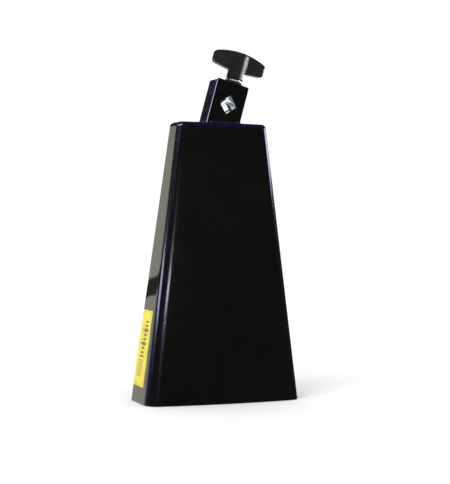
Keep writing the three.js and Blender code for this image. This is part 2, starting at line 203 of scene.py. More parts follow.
def lathe_solid(profile, segments):
    """Solid about local Z whose profile starts and ends on the axis."""
    return lathe(list(profile) + [(0.0, profile[0][1])], segments)


def with_modifiers(mesh, setup):
    """The mesh after modifiers that setup(object) adds; it may return objects to remove afterwards."""
    obj = bpy.data.objects.new("work", mesh)
    bpy.context.scene.collection.objects.link(obj)
    extra = setup(obj) or []
    bpy.context.view_layer.update()
    deps = bpy.context.evaluated_depsgraph_get()
    result = bpy.data.meshes.new_from_object(obj.evaluated_get(deps))
    for o in [obj, *extra]:
        bpy.data.objects.remove(o)
    return result


def cut(mesh, cutter):
    """The mesh with the cutter's solid taken out of it."""
    def setup(obj):
        tool = bpy.data.objects.new("tool", cutter)
        bpy.context.scene.collection.objects.link(tool)
        mod = obj.modifiers.new("cut", "BOOLEAN")
        mod.operation, mod.solver, mod.object = "DIFFERENCE", "EXACT", tool
        return [tool]
    return with_modifiers(mesh, setup)


def bevelled(mesh, width, angle):
    def setup(obj):
        mod = obj.modifiers.new("bevel", "BEVEL")
        mod.width, mod.segments, mod.limit_method = width, 2, "ANGLE"
        mod.angle_limit = math.radians(angle)
    return with_modifiers(mesh, setup)


def melted(mesh, voxel, smoothing):
    """One skin over joined solids, softened as a casting or moulding is."""
    def setup(obj):
        mod = obj.modifiers.new("remesh", "REMESH")
        mod.mode, mod.voxel_size, mod.use_smooth_shade = "VOXEL", voxel, True
        mod = obj.modifiers.new("smooth", "SMOOTH")
        mod.factor, mod.iterations = 0.5, smoothing
    return with_modifiers(mesh, setup)


def joined(meshes):
    bm = bmesh.new()
    for mesh in meshes:
        bm.from_mesh(mesh)
    out = bpy.data.meshes.new("joined")
    bm.to_mesh(out)
    bm.free()
    return out


def smoothstep(t):
    t = max(0.0, min(1.0, t))
    return t * t * (3 - 2 * t)


def quarter_turn(centre_x, centre_y, radius, start, steps):
    """Points of a quarter circle, from the angle start."""
    angles = [start + PI / 2 * k / steps for k in range(steps + 1)]
    return [(centre_x + radius * math.cos(a), centre_y + radius * math.sin(a)) for a in angles]


# ---- shader helpers ----------------------------------------------------------------------------
def feed(tree, socket, value):
    """Link an output to a socket, or set the socket to a plain value."""
    if isinstance(value, bpy.types.NodeSocket):
        tree.links.new(value, socket)
    else:
        socket.default_value = value


def math_node(tree, op, a, b=0.0):
    node = tree.nodes.new("ShaderNodeMath")
    node.operation = op
    feed(tree, node.inputs[0], a)
    feed(tree, node.inputs[1], b)
    return node.outputs[0]


def mix_node(tree, fac, a, b):
    """Colour a where fac is 0 and b where it is 1."""
    node = tree.nodes.new("ShaderNodeMix")
    node.data_type = "RGBA"
    # sockets 6 and 7 are the node's two colours
    for index, value in ((0, fac), (6, a), (7, b)):
        feed(tree, node.inputs[index], value)
    return node.outputs[2]


class Shader:
    """Small builder for a node material."""

    def __init__(self, name):
        self.mat = bpy.data.materials.new(name)
        self.mat.use_nodes = True
        self.tree = self.mat.node_tree
        self.tree.nodes.clear()
        self.out = self.tree.nodes.new("ShaderNodeOutputMaterial")
        self.bsdf = self.tree.nodes.new("ShaderNodeBsdfPrincipled")
        self.link(self.bsdf.outputs[0], self.out.inputs["Surface"])
        self.coord = self.tree.nodes.new("ShaderNodeTexCoord")

    def link(self, a, b):
        self.tree.links.new(a, b)

    def set(self, **values):
        for key, value in values.items():
            self.bsdf.inputs[key.replace("_", " ")].default_value = value

    def node(self, kind, inputs=(), **props):
        n = self.tree.nodes.new(kind)
        for key, value in props.items():
            setattr(n, key, value)
        for key, value in dict(inputs).items():
            feed(self.tree, n.inputs[key], value)
        return n

    def mapped(self, scale):
        """Object coordinates, stretched."""
        vector = self.coord.outputs["Object"]
        return self.node("ShaderNodeMapping", {"Vector": vector, "Scale": scale}).outputs[0]

    def noise(self, scale, detail=3.0, rough=0.55, vector=None):
        vector = vector or self.coord.outputs["Object"]
        return self.node("ShaderNodeTexNoise", {"Vector": vector, "Scale": scale, "Detail": detail,
                                                "Roughness": rough}).outputs["Fac"]

    def remap(self, value, a, b, c, d):
        return self.node("ShaderNodeMapRange", {"Value": value, "From Min": a, "From Max": b,
                                                "To Min": c, "To Max": d}, clamp=True).outputs["Result"]

    def mix(self, fac, a, b):
        return mix_node(self.tree, fac, a, b)

    def math(self, op, a, b=0.0):
        return math_node(self.tree, op, a, b)

    def times(self, a, b):
        return self.math("MULTIPLY", a, b)

    def under(self, a, b):
        return self.math("LESS_THAN", a, b)

    def off(self, a, b):
        """How far a is from b, either way."""
        return self.math("ABSOLUTE", self.math("SUBTRACT", a, b))

    def within(self, value, lo, hi):
        return self.times(self.math("GREATER_THAN", value, lo), self.under(value, hi))

    def soft(self, noise, lo=0.3, hi=0.7):
        """The middle of a noise spread over 0 to 1."""
        return self.remap(noise, lo, hi, 0.0, 1.0)

    def bump(self, height, strength, distance, normal=None):
        inputs = {"Height": height, "Strength": strength, "Distance": distance}
        if normal is not None:
            inputs["Normal"] = normal
        return self.node("ShaderNodeBump", inputs).outputs[0]

    def drive(self, **sockets):
        for key, value in sockets.items():
            self.link(value, self.bsdf.inputs[key.replace("_", " ")])
        return self.mat


def rgb(r, g, b):
    return (r, g, b, 1.0)


# ---- materials ---------------------------------------------------------------------------------
def powder_coat(name, base, rough, peel=1.0):
    """Gloss black powder coat: orange peel, faint haze, a few specks of dust."""
    s = Shader(name)
    s.set(IOR=1.54, Coat_Weight=0.5, Coat_Roughness=0.065, Coat_IOR=1.5)
    cloud = s.noise(38.0, 4.0, 0.6)
    fine = s.noise(1400.0, 2.0, 0.5)
    dust = s.node("ShaderNodeTexVoronoi", {"Vector": s.coord.outputs["Object"], "Scale": 150.0,
                                           "Randomness": 1.0}).outputs["Distance"]
    speck = s.remap(dust, 0.016, 0.045, 1.0, 0.0)
    deep, worn = base * 0.75, base * 1.35
    colour = s.mix(s.soft(cloud), rgb(deep, deep, deep), rgb(worn, worn, worn))
    colour = s.mix(s.math("MULTIPLY", speck, 0.5), colour, rgb(0.10, 0.10, 0.105))
    haze = s.noise(14.0, 5.0, 0.65)
    rough_map = s.remap(haze, 0.3, 0.75, rough * 0.8, rough * 1.3)
    rough_map = s.math("ADD", rough_map, s.math("MULTIPLY", fine, 0.03))
    rough_map = s.math("ADD", rough_map, s.math("MULTIPLY", speck, 0.25))
    wave = s.noise(210.0, 2.0, 0.5)
    peel_fine = s.noise(720.0, 2.0, 0.45)
    normal = s.bump(wave, 0.10 * peel, 0.00035)
    normal = s.bump(peel_fine, 0.16 * peel, 0.00012, normal)
    return s.drive(Base_Color=colour, Roughness=rough_map, Normal=normal)


def moulded_plastic():
    s = Shader("moulded_black_plastic")
    s.set(IOR=1.5, Coat_Weight=0.0)
    cloud = s.noise(90.0, 4.0, 0.6)
    grain = s.noise(2600.0, 2.0, 0.5)
    colour = s.mix(s.soft(cloud),
                   rgb(0.0110, 0.0092, 0.0080), rgb(0.0195, 0.0160, 0.0138))
    rough = s.remap(s.noise(160.0, 4.0, 0.6), 0.3, 0.7, 0.24, 0.38)
    normal = s.bump(grain, 0.22, 0.00006)
    normal = s.bump(s.noise(300.0, 2.0, 0.5), 0.08, 0.0003, normal)
    return s.drive(Base_Color=colour, Roughness=rough, Normal=normal)


def bright_metal(name, colour_lo, colour_hi, rough_lo, rough_hi, line_scale=(1, 1, 1), line_strength=0.1):
    """Plated metal with fine turned or drawn lines along one local direction."""
    s = Shader(name)
    s.set(Metallic=1.0)
    lines = s.noise(900.0, 3.0, 0.6, s.mapped(line_scale))
    stain = s.noise(220.0, 4.0, 0.6)
    colour = s.mix(s.soft(stain, 0.35, 0.7), colour_hi, colour_lo)
    rough = s.remap(s.math("ADD", s.math("MULTIPLY", lines, 0.5), s.math("MULTIPLY", stain, 0.5)),
                    0.3, 0.7, rough_lo, rough_hi)
    return s.drive(Base_Color=colour, Roughness=rough, Normal=s.bump(lines, line_strength, 0.00008))


def dark_nylon():
    s = Shader("dark_nylon")
    s.set(IOR=1.5)
    colour = s.mix(s.noise(500.0), rgb(0.012, 0.012, 0.013), rgb(0.030, 0.030, 0.032))
    rough = s.remap(s.noise(900.0), 0.3, 0.7, 0.45, 0.65)
    return s.drive(Base_Color=colour, Roughness=rough, Normal=s.bump(s.noise(2200.0), 0.15, 0.00006))


def bare_steel():
    """Dull steel with thin overspray, inside the bracket."""
    s = Shader("bare_steel")
    s.set(IOR=1.5, Specular_IOR_Level=0.3)
    mist = s.noise(160.0, 4.0, 0.65)
    colour = s.mix(s.soft(mist, 0.35, 0.65), rgb(0.20, 0.26, 0.25), rgb(0.34, 0.40, 0.37))
    rough = s.remap(s.noise(420.0, 3.0, 0.6), 0.3, 0.7, 0.5, 0.7)
    return s.drive(Base_Color=colour, Roughness=rough, Normal=s.bump(s.noise(900.0), 0.12, 0.00008))


def label_paper():
    """Glossy yellow label: printed border, a column of plain lozenges, a scuffed laminate."""
    s = Shader("label_paper")
    s.set(IOR=1.5, Coat_Weight=0.25, Coat_Roughness=0.12)
    uv = s.node("ShaderNodeSeparateXYZ", {"Vector": s.coord.outputs["UV"]})
    u, v = uv.outputs["X"], uv.outputs["Y"]
    fibres = s.noise(900.0, 4.0, 0.65)
    cloud = s.noise(120.0, 3.0, 0.6)
    yellow = s.mix(s.soft(cloud), rgb(0.50, 0.44, 0.008), rgb(0.61, 0.56, 0.014))
    yellow = s.mix(s.remap(fibres, 0.45, 0.75, 0.0, 0.16), yellow, rgb(0.70, 0.66, 0.08))
    # a slanting column: plain lozenges on the upper part, every third one larger, and short bars below
    n_cells, n_bars = 17.0, 34.0
    slant, column = 0.30, 0.60
    beside = s.off(s.math("ADD", u, s.times(v, slant)), column)
    cells = s.times(v, n_cells)
    third = s.under(s.math("MODULO", s.math("FLOOR", cells), 3.0), 0.5)
    size = s.math("ADD", s.times(third, 0.20), 0.34)
    reach = s.math("ADD", s.off(s.math("FRACT", cells), 0.5), s.times(beside, 1.9))
    lozenge = s.remap(s.math("SUBTRACT", size, reach), -0.03, 0.03, 0.0, 1.0)
    lozenge = s.times(lozenge, s.within(v, 0.38, 0.86))
    stripe = s.under(s.off(s.math("FRACT", s.times(v, n_bars)), 0.5), 0.24)
    bars = s.times(s.times(stripe, s.within(v, 0.12, 0.35)), s.under(beside, 0.19))
    motif = s.math("MAXIMUM", lozenge, s.times(bars, 0.8))
    # a thin rule round the edge
    across, upright = s.off(u, 0.5), s.off(v, 0.5)
    side_rule = s.times(s.under(s.off(across, 0.452), 0.011), s.under(upright, 0.486))
    end_rule = s.times(s.under(s.off(upright, 0.482), 0.004), s.under(across, 0.463))
    wear = s.remap(s.noise(700.0, 3.0, 0.6), 0.25, 0.5, 0.72, 1.0)
    ink = s.math("MAXIMUM", s.times(motif, wear), s.times(s.math("MAXIMUM", side_rule, end_rule), 0.42))
    colour = s.mix(ink, yellow, rgb(0.16, 0.075, 0.012))
    rough = s.remap(s.noise(260.0, 5.0, 0.7), 0.3, 0.7, 0.28, 0.46)
    normal = s.bump(s.noise(340.0, 3.0, 0.6), 0.12, 0.0003)
    return s.drive(Base_Color=colour, Roughness=rough, Normal=normal)


COAT = powder_coat("black_powder_coat", 0.0022, 0.13)
COAT_WELD = powder_coat("black_coated_weld", 0.0030, 0.20, peel=1.6)
PLASTIC = moulded_plastic()
CHROME = bright_metal("bright_plating", rgb(0.66, 0.74, 0.78), rgb(0.84, 0.90, 0.95), 0.20, 0.38, (1, 1, 0.2))
ZINC = bright_metal("zinc_washer", rgb(0.62, 0.60, 0.54), rgb(0.82, 0.81, 0.77), 0.20, 0.42, (1, 1, 6), 0.2)
BRASS = bright_metal("turned_brass", rgb(0.46, 0.33, 0.14), rgb(0.72, 0.55, 0.27), 0.18, 0.38, (1, 1, 6), 0.2)
NYLON = dark_nylon()
PAPER = label_paper()
BARE_STEEL = bare_steel()


# ---- bell body ---------------------------------------------------------------------------------
def bell_size(z):
    """Half width, half depth, corner radius and bow of the outside at height z."""
    t = z / LENGTH
    ends = ((MOUTH_HALF_WIDTH, CROWN_HALF_WIDTH), (MOUTH_HALF_DEPTH, CROWN_HALF_DEPTH),
            (MOUTH_CORNER, CROWN_CORNER), (MOUTH_BOW, CROWN_BOW))
    return tuple(mouth + (crown - mouth) * t for mouth, crown in ends)


def half_section(z, inset):
    """Left seam, round the corner, across the bowed face at -Y, to the right seam."""
    a, b, r, bow = bell_size(z)
    cx, cy = a - r, b - r
    tilt = 2 * math.atan(bow / cx)
    ri = r - inset
    face = cx / math.sin(tilt) + ri
    flat_steps, corner_steps, face_steps = 5, 16, 20
    quarter = [(a - inset, -(SEAM + (cy - SEAM) * k / flat_steps)) for k in range(flat_steps)]
    for k in range(corner_steps + 1):
        angle = PI / 2 + (tilt - PI / 2) * k / corner_steps
        quarter.append((cx + ri * math.sin(angle), -(cy + ri * math.cos(angle))))
    base = -(cy + ri * math.cos(tilt)) + face * math.cos(tilt)
    for k in range(1, face_steps + 1):
        angle = tilt * (1 - k / face_steps)
        quarter.append((face * math.sin(angle), base - face * math.cos(angle)))
    return [(-x, y) for x, y in quarter[:-1]] + quarter[::-1]


def shell_rows():
    """From the crown seam down the outside, round the rim, and up the inside to the crown seam."""
    shoulder = LENGTH - CROWN_EDGE
    lip = SHEET / 2
    side_steps, edge_steps, rim_steps = 40, 10, 8
    heights = [lip + (shoulder - lip) * k / side_steps for k in range(side_steps + 1)]
    outer = [(half_section(z, 0), z) for z in heights]
    inner = [(half_section(z, SHEET), z) for z in heights]

    def edge(skin):
        radius = CROWN_EDGE - skin
        rows = []
        for k in range(1, edge_steps + 1):
            angle = PI / 2 * k / edge_steps
            rows.append((half_section(shoulder, skin + radius * (1 - math.cos(angle))),
                         shoulder + radius * math.sin(angle)))
        # then flat to the seam across the crown, which is straight
        last, z = rows[-1]
        half, n = last[-1][0], len(last) - 1
        for step in (0.5, 1.0):
            rows.append(([(x + (-half + 2 * half * i / n - x) * step, y + (-SEAM - y) * step)
                          for i, (x, y) in enumerate(last)], z))
        return rows
    rim = []
    for k in range(1, rim_steps):
        angle = PI * k / rim_steps
        rim.append((half_section(0.0, lip * (1 - math.cos(angle))), lip * (1 - math.sin(angle))))
    rows = edge(0)[::-1] + outer[::-1] + rim + inner + edge(SHEET)
    return [[(x, y, z) for x, y in section] for section, z in rows]


def bell_half(name, node, turn):
    rows = shell_rows()
    n_rows, n_cols = len(rows), len(rows[0])
    last = (n_rows - 1) * n_cols
    faces = grid_faces(n_rows, n_cols)
    # the edges at the two side seams, then the edge at the crown seam
    faces.append([j * n_cols for j in range(n_rows)])
    faces.append([j * n_cols + n_cols - 1 for j in range(n_rows)][::-1])
    faces += [(last + i, last + i + 1, i + 1, i) for i in range(n_cols - 1)]
    mesh = mesh_from([p for row in rows for p in row], faces)
    if turn:
        mesh.transform(Matrix.Rotation(PI, 4, "Z"))
    obj = new_object(name, mesh, COAT, sharp=40)
    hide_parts(node)
    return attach(obj, "bell")


def weld_piece(name, node, rows, sharp):
    obj = new_object(name, capped_loft(rows), COAT_WELD, sharp=sharp)
    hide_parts(node)
    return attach(obj, "bell")


def root_section(height, half_wide):
    """Section of a seam weld, as (depth from the outside of the sheet, place across the seam)."""
    sink, face_half, overlap = 0.3 * MM, 1.2 * MM, 0.25 * MM
    section = []
    for i in range(9):
        t = -1 + 2 * i / 8
        section.append((SHEET - overlap + height * math.sqrt(max(0.0, 1 - t * t)), t * half_wide))
    return section + [(sink, face_half), (sink, -face_half)]


def run_out(k, steps):
    """Share of a seam weld's full height, which falls to nothing at both ends."""
    return smoothstep(k / 4) * smoothstep((steps - k) / 4)


def weld_root(name, node, side):
    """Rippled root of a seam weld, seen inside the bell, with its ground face flush in the side."""
    start, run = 1.2 * MM, LENGTH - CROWN_EDGE - 3 * MM
    rows, steps = [], 260
    for k in range(steps + 1):
        z = start + run * k / steps
        a = bell_size(z)[0]
        ripple = 1 + 0.16 * math.sin(2 * PI * z / ROOT_WAVES[0])
        ripple += 0.10 * math.sin(2 * PI * z / ROOT_WAVES[1] + side)
        half_wide = ROOT_HALF_WIDE * (0.85 + 0.15 * ripple)
        section = root_section(0.62 * MM * ripple * run_out(k, steps), half_wide)
        rows.append([(side * (a - deep), y, z) for deep, y in section])
    return weld_piece(name, node, rows, 50)


def crown_root(name, node):
    """The same, of the weld across the crown."""
    reach = bell_size(LENGTH - CROWN_EDGE)[0] - CROWN_EDGE - 3.2 * MM
    rows, steps = [], 90
    for k in range(steps + 1):
        x = -reach + 2 * reach * k / steps
        ripple = 1 + 0.16 * math.sin(2 * PI * x / ROOT_WAVES[0])
        section = root_section(0.55 * MM * ripple * run_out(k, steps), ROOT_HALF_WIDE)
        rows.append([(x, y, LENGTH - deep) for deep, y in section])
    return weld_piece(name, node, rows, 50)


def side_label():
    """Label on the left narrow side, its rear edge turned on to the rounded corner."""
    n_v, n_u = 56, 30
    rows = []
    for j in range(n_v + 1):
        v = j / n_v
        row = []
        for i in range(n_u + 1):
            u = i / n_u
            z = LABEL_Z[0] + LABEL_HIGH * v
            y = LABEL_Y[0] + LABEL_WIDE * u
            a, b, r, _ = bell_size(z)
            flat = b - r
            # the edges stand off a little, here more and there less
            edge = smoothstep(1 - min(u, 1 - u, v * 2.5, (1 - v) * 2.5) / 0.03)
            lift = 0.10 * MM + 0.10 * MM * edge * (0.5 + 0.5 * math.sin(9 * u + 17 * v))
            angle = max(0.0, y - flat) / r
            if angle > 0:
                point = (-(a - r + (r + lift) * math.cos(angle)), flat + (r + lift) * math.sin(angle), z)
            else:
                point = (-(a + lift), y, z)
            row.append(point)
        rows.append(row)
    bm = bmesh.new()
    verts = [[bm.verts.new(p) for p in row] for row in rows]
    layer = bm.loops.layers.uv.new("UVMap")
    for j in range(n_v):
        for i in range(n_u):
            face = bm.faces.new((verts[j][i], verts[j + 1][i], verts[j + 1][i + 1], verts[j][i + 1]))
            for loop, (u, v) in zip(face.loops, ((i, j), (i, j + 1), (i + 1, j + 1), (i + 1, j))):
                loop[layer].uv = (u / n_u, v / n_v)
    # corners cut round
    gone = []
    for face in bm.faces:
        uv = [loop[layer].uv.copy() for loop in face.loops]
        u = sum(p.x for p in uv) / 4 * LABEL_WIDE
        v = sum(p.y for p in uv) / 4 * LABEL_HIGH
        du = LABEL_CORNER - min(u, LABEL_WIDE - u)
        dv = LABEL_CORNER - min(v, LABEL_HIGH - v)
        if du > 0 and dv > 0 and du * du + dv * dv > LABEL_CORNER * LABEL_CORNER:
            gone.append(face)
    bmesh.ops.delete(bm, geom=gone, context="FACES")
    mesh = bpy.data.meshes.new("label")
    bm.to_mesh(mesh)
    bm.free()

    def thicken(obj):
        mod = obj.modifiers.new("thick", "SOLIDIFY")
        mod.thickness, mod.offset = LABEL_THICK, -1.0
    mesh = with_modifiers(mesh, thicken)
    obj = new_object("yellow_label", mesh, PAPER, sharp=50)
    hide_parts("side_label")
    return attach(obj, "bell")


# ---- bracket -----------------------------------------------------------------------------------
def rounded_loop(width, depth, radius, steps=8):
    x, y = width / 2 - radius, depth / 2 - radius
    loop = []
    for cx, cy, start in ((x, -y, -PI / 2), (x, y, 0), (-x, y, PI / 2), (-x, -y, PI)):
        loop += quarter_turn(cx, cy, radius, start, steps)
    return loop


def bracket():
    """Box that leans on the crown, its top edge eased, with square rod holes on their points."""
    wall, soft = BOX_WALL, BOX_TOP_EASE

    def foot(loop):
        return [(x, y, x * math.tan(LEAN) - FOOT_SINK) for x, y in loop]

    def level(loop, z):
        return [(x, y, z) for x, y in loop]
    outer = rounded_loop(BOX_WIDTH, BOX_DEPTH, BOX_CORNER)
    inner = rounded_loop(BOX_WIDTH - 2 * wall, BOX_DEPTH - 2 * wall, 0.8 * MM)
    rows = [foot(outer), level(outer, BOX_HEIGHT - soft)]
    for k in range(1, 5):
        a = PI / 2 * k / 4
        inset = soft * (1 - math.cos(a))
        loop = rounded_loop(BOX_WIDTH - 2 * inset, BOX_DEPTH - 2 * inset, max(0.1 * MM, BOX_CORNER - inset))
        rows.append(level(loop, BOX_HEIGHT - soft + soft * math.sin(a)))
    rows += [level(inner, BOX_HEIGHT), foot(inner)]
    # the holes' corners are slightly eased
    hole = rounded_loop(ROD_HOLE_SIDE, ROD_HOLE_SIDE, 0.5 * MM, 4)
    cutter = capped_loft([level(hole, z) for z in (-20 * MM, 20 * MM)])
    cutter.transform(Matrix.Translation((0, 0, ROD_HOLE_HEIGHT)) @ Matrix.Rotation(PI / 4, 4, "Y")
                     @ Matrix.Rotation(PI / 2, 4, "X"))
    mesh = cut(loft(rows, close_rows=True, close_cols=True), cutter)
    mesh = bevelled(mesh, 0.28 * MM, 55)
    obj = new_object("rod_bracket", mesh, COAT, HEAD)
    # the coat does not reach inside the box
    mesh.materials.append(BARE_STEEL)
    margin = 0.05 * MM
    half_x, half_y = BOX_WIDTH / 2 - wall + margin, BOX_DEPTH / 2 - wall + margin
    for poly in mesh.polygons:
        if abs(poly.center.x) < half_x and abs(poly.center.y) < half_y:
            poly.material_index = 1
    # flat walls stay flat up to their rounded edges
    obj.modifiers.new("flat_walls", "WEIGHTED_NORMAL").weight = 100
    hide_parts("bracket_box")
    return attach(obj, "bell")


def weld_bead(name, node, start, end, radius, out, seed):
    """Rippled fillet bead laid along the foot of the bracket, from start to end on the crown."""
    start, end, out = Vector(start), Vector(end), Vector(out)
    along = (end - start).normalized()
    length = (end - start).length
    up = Vector((0, 0, 1))
    rows, sides = [], 20
    steps = int(length / (0.22 * MM))
    for k in range(steps + 1):
        s = length * k / steps
        tip = min(1.0, min(s, length - s) / radius)
        swell = math.sqrt(tip * (2 - tip))
        ripple = 1 + 0.10 * math.sin(2 * PI * s / BEAD_WAVES[0] + seed)
        ripple += 0.06 * math.sin(2 * PI * s / BEAD_WAVES[1] + 2 * seed)
        centre = start + along * s
        size = radius * ripple * (0.25 + 0.75 * swell)
        rows.append([centre + out * (size * math.cos(a)) + up * (size * math.sin(a))
                     for a in (2 * PI * i / sides for i in range(sides))])
    return weld_piece(name, node, rows, 60)


def foot_welds():
    half_x = BOX_WIDTH / 2 / math.cos(LEAN)
    half_y = BOX_DEPTH / 2
    left, right = BRACKET_X - half_x + 0.25 * MM, BRACKET_X + half_x + 0.10 * MM
    short_left, short_right = BRACKET_X - half_x + 2.4 * MM, BRACKET_X + half_x - 2.4 * MM
    # side, ends on the crown, share of the full radius, direction out of the wall, phase of the ripple
    beads = (("left", (left, half_y - 1.4 * MM), (left, -half_y + 1.4 * MM), 0.85, (1, 0, 0), 0.3),
             ("right", (right, -half_y + 1.0 * MM), (right, half_y - 1.0 * MM), 1.0, (1, 0, 0), 1.7),
             ("front", (short_left, -half_y), (short_right, -half_y), 0.9, (0, 1, 0), 2.9),
             ("rear", (short_right, half_y), (short_left, half_y), 0.9, (0, 1, 0), 4.4))
    z = LENGTH + 0.05 * MM
    for side, start, end, share, out, seed in beads:
        weld_bead("foot_weld_" + side, "bracket_weld_" + side, (*start, z), (*end, z), BEAD_RADIUS * share,
                  out, seed)


# ---- clamp -------------------------------------------------------------------------------------
def eye_bolt():
    rim, half = EYE_RIM, EYE_THICK / 2
    profile = []
    for r, z, start in ((EYE_OUTER - rim, half - rim, 0), (EYE_INNER + rim, half - rim, PI / 2),
                        (EYE_INNER + rim, -half + rim, PI), (EYE_OUTER - rim, -half + rim, 3 * PI / 2)):
        profile += quarter_turn(r, z, rim, start, 4)
    ring = lathe(profile, 96)
    ring.transform(Matrix.Rotation(PI / 2, 4, "X"))
    neck_top, stem_low, inside = NECK_LOW + 3.2 * MM, NECK_LOW + 4.4 * MM, NECK_LOW + 6 * MM
    neck = lathe_solid([(0, NECK_LOW), (NECK_RADIUS, NECK_LOW), (NECK_RADIUS, neck_top),
                        (STEM_RADIUS, stem_low), (STEM_RADIUS, inside), (0, inside)], 48)
    # flat-sided shoulder that runs from the ring up into the stem
    shoulder = capped_loft([[(x, y, z) for x, y in rounded_loop(2 * wide, 2 * deep, corner)]
                            for z, wide, deep, corner in SHOULDER])
    mesh = melted(joined([ring, neck, shoulder]), 0.27 * MM, 4)
    obj = new_object("eye_bolt_eye", mesh, CHROME, CLAMP @ Matrix.Translation((0, 0, EYE_HEIGHT)))
    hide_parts("eye_bolt")
    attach(obj, "eye_bolt")
    # rolled thread on the stem, its upper end pointed
    base, top = NECK_LOW + 5 * MM, STEM_TOP - EYE_HEIGHT
    sides, per_turn = 28, 6
    steps = int((top - base) / THREAD_PITCH) * per_turn
    rows = []
    for k in range(steps + 1):
        z = base + (top - base) * k / steps
        fade = smoothstep((top - z) / (1.2 * MM)) * smoothstep((z - base) / (1.5 * MM))
        point = 0.45 * MM * (1 - smoothstep((top - z) / (0.8 * MM)))
        row = []
        for i in range(sides):
            phase = (z / THREAD_PITCH - i / sides) % 1.0
            r = STEM_RADIUS - THREAD_DEPTH * (1 - abs(2 * phase - 1)) * fade - point
            a = 2 * PI * i / sides
            row.append((r * math.cos(a), r * math.sin(a), z))
        rows.append(row)
    stem = new_object("eye_bolt_thread", capped_loft(rows), CHROME,
                      CLAMP @ Matrix.Translation((0, 0, EYE_HEIGHT)), sharp=50)
    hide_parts("eye_bolt")
    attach(stem, "eye_bolt")


def washer(name, node, sizes, material):
    low, high, outer, inner, ease = sizes
    soft = ease * 0.5
    profile = quarter_turn(outer - ease, high - ease, ease, 0, 3)
    profile += quarter_turn(inner + soft, high - soft, soft, PI / 2, 3)
    profile += quarter_turn(inner + soft, low + soft, soft, PI, 3)
    profile += quarter_turn(outer - ease, low + ease, ease, 3 * PI / 2, 3)
    obj = new_object(name, lathe(profile, 80), material, CLAMP, sharp=40)
    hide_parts(node)
    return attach(obj, "bell")


def rounded_outline(points):
    """Outline through (x, z, length cut back from the corner), each such corner rounded."""
    out = []
    n, steps = len(points), 6
    for i, (x, z, r) in enumerate(points):
        here = Vector((x, z))
        prev, nxt = Vector(points[i - 1][:2]), Vector(points[(i + 1) % n][:2])
        if r == 0:
            out.append((x, z))
            continue
        into, away = (prev - here).normalized() * r, (nxt - here).normalized() * r
        for k in range(steps + 1):
            t = k / steps
            p = here + into * (1 - t) ** 2 + away * t ** 2
            out.append((p.x, p.y))
    return out


def t_handle():
    s, low, high = WING_HALF_SPAN, WING_TIP_LOW, WING_TIP_HIGH
    outline = [(0, WING_ROOT_LOW, 0), (WING_ROOT_HALF, WING_ROOT_LOW, 0), (s, low, WING_LOW_CORNER),
               (s, high, WING_HIGH_CORNER)]
    for k in range(1, 20):
        x = s * (1 - k / 10)
        outline.append((x, WING_TOP - (WING_TOP - high) * (x / s) ** 2, 0))
    outline += [(-s, high, WING_HIGH_CORNER), (-s, low, WING_LOW_CORNER), (-WING_ROOT_HALF, WING_ROOT_LOW, 0)]
    loop = rounded_outline(outline)
    profile = []
    for k in range(5, -1, -1):
        a = PI / 2 * k / 5
        profile.append((WING_EASE * (1 - math.cos(a)), -WING_HALF_THICK + WING_EASE * (1 - math.sin(a))))
    profile += [(inset, -y) for inset, y in profile[::-1]]
    rows = []
    for inset, y in profile:
        row = []
        for x, z in loop:
            shrunk_z = WING_MIDDLE + (z - WING_MIDDLE) * (1 - inset / WING_REACH)
            # the wings thin slightly towards their tips
            thin = 1 - 0.12 * (abs(x) / s) ** 2
            row.append((x * (1 - inset / s), y * thin, shrunk_z))
        rows.append(row)
    top = WING_TOP - 0.5 * MM
    hub = lathe_solid([(0, HUB_LOW), (HUB_RADIUS - 0.4 * MM, HUB_LOW), (HUB_RADIUS, HUB_LOW + 0.5 * MM),
                       (HUB_RADIUS, top - 1.2 * MM), (HUB_RADIUS - 0.5 * MM, top - 0.35 * MM),
                       (HUB_RADIUS - 1.5 * MM, top), (0, top + 0.1 * MM)], 64)
    mesh = melted(joined([capped_loft(rows), hub]), 0.36 * MM, 6)
    below = HUB_LOW - 3 * MM
    bore = lathe_solid([(0, below), (HUB_BORE, below), (HUB_BORE, HUB_BORE_TOP), (0, HUB_BORE_TOP)], 48)
    mesh = cut(mesh, bore)
    obj = new_object("t_handle_moulding", mesh, PLASTIC, CLAMP, sharp=50)
    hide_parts("t_handle")
    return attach(obj, "handle")


bell_half("bell_front", "bell_front_shell", False)
bell_half("bell_rear", "bell_rear_shell", True)
weld_root("weld_root_left", "seam_weld_left", -1)
weld_root("weld_root_right", "seam_weld_right", 1)
crown_root("weld_root_crown", "seam_weld_crown")
side_label()
bracket()
foot_welds()
eye_bolt()
washer("dark_washer", "friction_washer", DARK_WASHER, NYLON)
washer("bright_washer", "flat_washer", BRIGHT_WASHER, ZINC)
t_handle()
for node, material in (("bracket_top_plate", COAT_WELD), ("handle_insert", BRASS)):
    obj = frame["nodes"][node]
    obj.data.materials.clear()
    obj.data.materials.append(material)


# ---- studio ------------------------------------------------------------------------------------
CAMERA_PLACE = (-0.34263, -0.84462, 0.13723)
CAMERA_LENS = 92.054
# yaw to the right, pitch upwards, roll with the right side up, in degrees
CAMERA_TURN = (22.459, -1.319, 0.679)

CARD_HEIGHT = 84 * MM
CARD_DISTANCE = 35 * MM
# from the left narrow side, about where the camera's view of it is mirrored to
CARD_DIRECTION = (-0.332, 0.943, 0.023)


